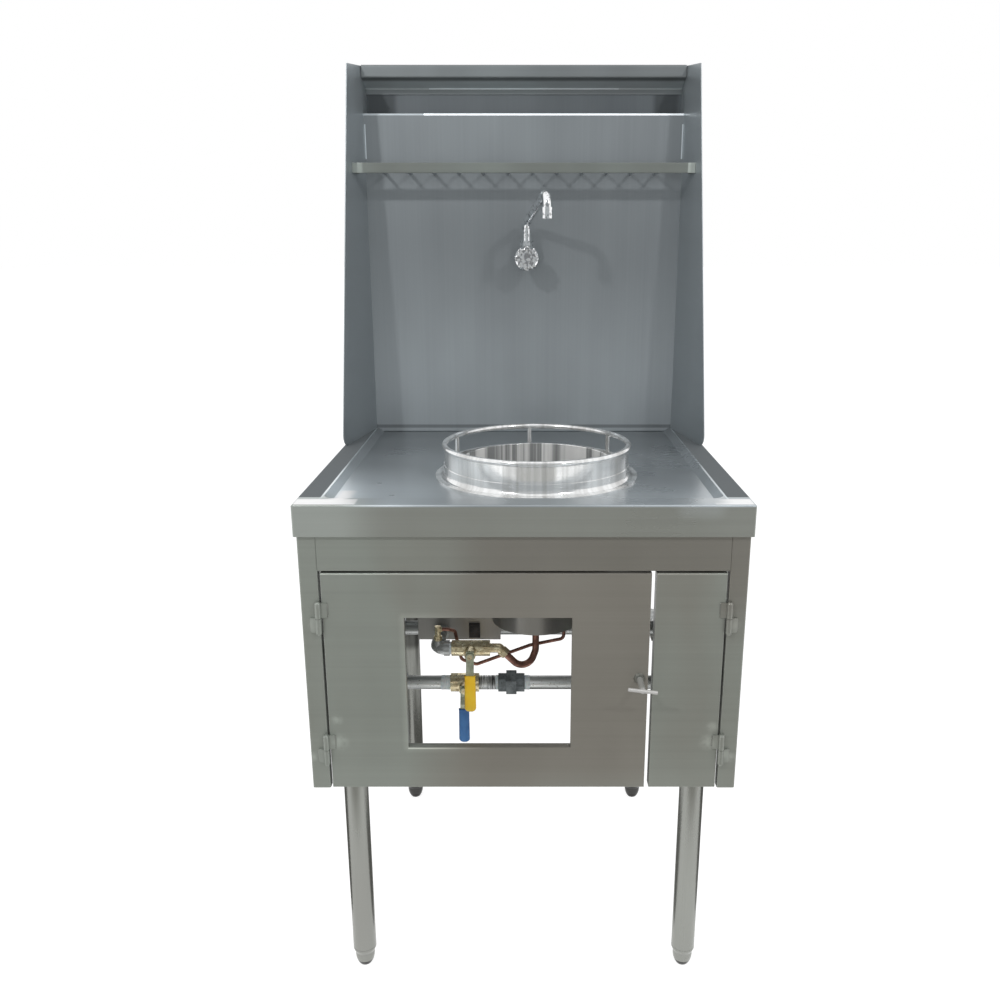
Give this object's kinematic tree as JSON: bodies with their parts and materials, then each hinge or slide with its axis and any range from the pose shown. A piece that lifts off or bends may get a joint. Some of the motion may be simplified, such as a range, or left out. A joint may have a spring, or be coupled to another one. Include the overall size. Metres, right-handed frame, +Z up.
{
  "type": "wok range",
  "caption": "Single-burner wok range with a tall splashback, rack, swing faucet, raised wok ring, two-door cabinet with a window, gas line and round legs",
  "frame": {"origin": "on the floor, at the bottom centre of the bounding box", "axes": "+Z up, the front faces -Y, +X to the right seen from the front"},
  "size_m": [0.711, 0.719, 1.6102],
  "materials": {
    "aerator": "polished chrome plating",
    "backsplash_panel": "satin brushed stainless steel",
    "branch_elbow": "malleable iron, dark",
    "burner": "malleable iron, dark",
    "burner_shroud": "satin brushed stainless steel",
    "burner_strap": "satin brushed stainless steel",
    "burner_tube": "copper tube, darkened",
    "burner_valve_ball": "cast brass, slightly tarnished",
    "burner_valve_body": "cast brass, slightly tarnished",
    "burner_valve_grip": "dipped yellow vinyl",
    "burner_valve_lever": "zinc-plated steel, dull",
    "chamber_liner": "polished stainless steel with fine turning lines",
    "fascia": "satin brushed stainless steel",
    "faucet_body": "polished chrome plating",
    "faucet_flange": "polished chrome plating",
    "faucet_knob": "polished chrome plating",
    "faucet_nuts": "polished chrome plating",
    "faucet_spout": "polished chrome plating",
    "flare_elbow": "cast brass, slightly tarnished",
    "flue_back": "satin brushed stainless steel",
    "flue_cap": "satin brushed stainless steel",
    "frame_rails": "satin brushed stainless steel",
    "front_left_foot": "dark cast adjustable foot",
    "front_right_foot": "dark cast adjustable foot",
    "hinge_post_knuckles": "satin brushed stainless steel",
    "latch_cam": "satin brushed stainless steel",
    "latch_handle": "satin brushed stainless steel",
    "latch_rosette": "satin brushed stainless steel",
    "left_door": "satin brushed stainless steel",
    "left_door_knuckles": "satin brushed stainless steel",
    "left_side_panel": "satin brushed stainless steel",
    "left_wing": "satin brushed stainless steel",
    "leg_sockets": "satin brushed stainless steel",
    "legs": "satin brushed stainless steel",
    "main_valve_ball": "cast brass, slightly tarnished",
    "main_valve_body": "cast brass, slightly tarnished",
    "main_valve_grip": "dipped blue vinyl",
    "main_valve_lever": "zinc-plated steel, dull",
    "manifold_pipe": "bare black steel pipe, dull grey",
    "pilot_burner": "cast brass, slightly tarnished",
    "pilot_tube": "copper tube, darkened",
    "pilot_valve": "cast brass, slightly tarnished",
    "pipe_brackets": "satin brushed stainless steel",
    "pipe_elbows": "malleable iron, dark",
    "pipe_nipples": "bare black steel pipe, dull grey",
    "rack_bar": "satin brushed stainless steel",
    "rack_rods": "satin brushed stainless steel",
    "rear_left_foot": "dark cast adjustable foot",
    "rear_right_foot": "dark cast adjustable foot",
    "right_door": "satin brushed stainless steel",
    "right_door_knuckles": "satin brushed stainless steel",
    "right_side_panel": "satin brushed stainless steel",
    "right_wing": "satin brushed stainless steel",
    "ring_collar": "polished stainless steel with fine turning lines",
    "ring_shield": "polished stainless steel with fine turning lines",
    "supply_pipes": "bare black steel pipe, dull grey",
    "union_ends": "malleable iron, dark",
    "union_nut": "malleable iron, dark",
    "wok_ring": "polished stainless steel with fine turning lines",
    "worktop": "satin brushed stainless steel"
  },
  "bodies": {
    "range": {"backsplash_panel": "backsplash_panel", "branch_elbow": "branch_elbow", "burner": "burner", "burner_shroud": "burner_shroud", "burner_strap": "burner_strap", "burner_tube": "burner_tube", "burner_valve_body": "burner_valve_body", "chamber_liner": "chamber_liner", "fascia": "fascia", "faucet_body": "faucet_body", "faucet_flange": "faucet_flange", "faucet_nuts": "faucet_nuts", "flare_elbow": "flare_elbow", "flue_back": "flue_back", "flue_cap": "flue_cap", "frame_rails": "frame_rails", "hinge_post_knuckles": "hinge_post_knuckles", "left_side_panel": "left_side_panel", "left_wing": "left_wing", "leg_sockets": "leg_sockets", "legs": "legs", "main_valve_body": "main_valve_body", "manifold_pipe": "manifold_pipe", "pilot_burner": "pilot_burner", "pilot_tube": "pilot_tube", "pilot_valve": "pilot_valve", "pipe_brackets": "pipe_brackets", "pipe_elbows": "pipe_elbows", "pipe_nipples": "pipe_nipples", "rack_bar": "rack_bar", "rack_rods": "rack_rods", "right_side_panel": "right_side_panel", "right_wing": "right_wing", "supply_pipes": "supply_pipes", "union_ends": "union_ends", "union_nut": "union_nut", "worktop": "worktop"},
    "wok_ring_lift": {"wok_ring": "wok_ring", "ring_shield": "ring_shield", "ring_collar": "ring_collar"},
    "left_door_body": {"left_door": "left_door", "left_door_knuckles": "left_door_knuckles", "latch_rosette": "latch_rosette"},
    "right_door_body": {"right_door": "right_door", "right_door_knuckles": "right_door_knuckles"},
    "latch": {"latch_handle": "latch_handle", "latch_cam": "latch_cam"},
    "main_lever": {"main_valve_ball": "main_valve_ball", "main_valve_lever": "main_valve_lever", "main_valve_grip": "main_valve_grip"},
    "burner_lever": {"burner_valve_ball": "burner_valve_ball", "burner_valve_lever": "burner_valve_lever", "burner_valve_grip": "burner_valve_grip"},
    "spout": {"faucet_spout": "faucet_spout", "aerator": "aerator"},
    "faucet_handle": {"faucet_knob": "faucet_knob"},
    "foot_front_left": {"front_left_foot": "front_left_foot"},
    "foot_front_right": {"front_right_foot": "front_right_foot"},
    "foot_rear_left": {"rear_left_foot": "rear_left_foot"},
    "foot_rear_right": {"rear_right_foot": "rear_right_foot"}
  },
  "joints": [
    {"name": "left_door_hinge", "type": "hinge", "parent": "range", "child": "left_door_body", "pos_m": [-0.324, -0.3178, 0.587], "axis": [0, 0, -1], "range_deg": [0, 110]},
    {"name": "right_door_hinge", "type": "hinge", "parent": "range", "child": "right_door_body", "pos_m": [0.324, -0.3178, 0.587], "axis": [0, 0, 1], "range_deg": [0, 110]},
    {"name": "latch_turn", "type": "hinge", "parent": "left_door_body", "child": "latch", "pos_m": [0.1865, -0.3125, 0.597], "axis": [0, -1, 0], "range_deg": [0, 90]},
    {"name": "main_valve_turn", "type": "hinge", "parent": "range", "child": "main_lever", "pos_m": [-0.1155, -0.0545, 0.442], "axis": [0, -1, 0], "range_deg": [0, 90]},
    {"name": "burner_valve_turn", "type": "hinge", "parent": "range", "child": "burner_lever", "pos_m": [-0.097, -0.1475, 0.558], "axis": [0, -1, 0], "range_deg": [0, 90]},
    {"name": "spout_swing", "type": "hinge", "parent": "range", "child": "spout", "pos_m": [0.006, 0.2625, 1.27], "axis": [0, 0, 1], "range_deg": [-104, 76]},
    {"name": "faucet_knob_turn", "type": "hinge", "parent": "range", "child": "faucet_handle", "pos_m": [0.006, 0.24, 1.245], "axis": [0, -1, 0], "range_deg": [0, 450]},
    {"name": "wok_ring_lift_slide", "type": "slide", "parent": "range", "child": "wok_ring_lift", "axis": [0, 0, 1], "range_m": [0, 0.08]},
    {"name": "front_left_foot_slide", "type": "slide", "parent": "range", "child": "foot_front_left", "axis": [0, 0, -1], "range_m": [0, 0.025]},
    {"name": "front_right_foot_slide", "type": "slide", "parent": "range", "child": "foot_front_right", "axis": [0, 0, -1], "range_m": [0, 0.025]},
    {"name": "rear_left_foot_slide", "type": "slide", "parent": "range", "child": "foot_rear_left", "axis": [0, 0, -1], "range_m": [0, 0.025]},
    {"name": "rear_right_foot_slide", "type": "slide", "parent": "range", "child": "foot_rear_right", "axis": [0, 0, -1], "range_m": [0, 0.025]}
  ]
}
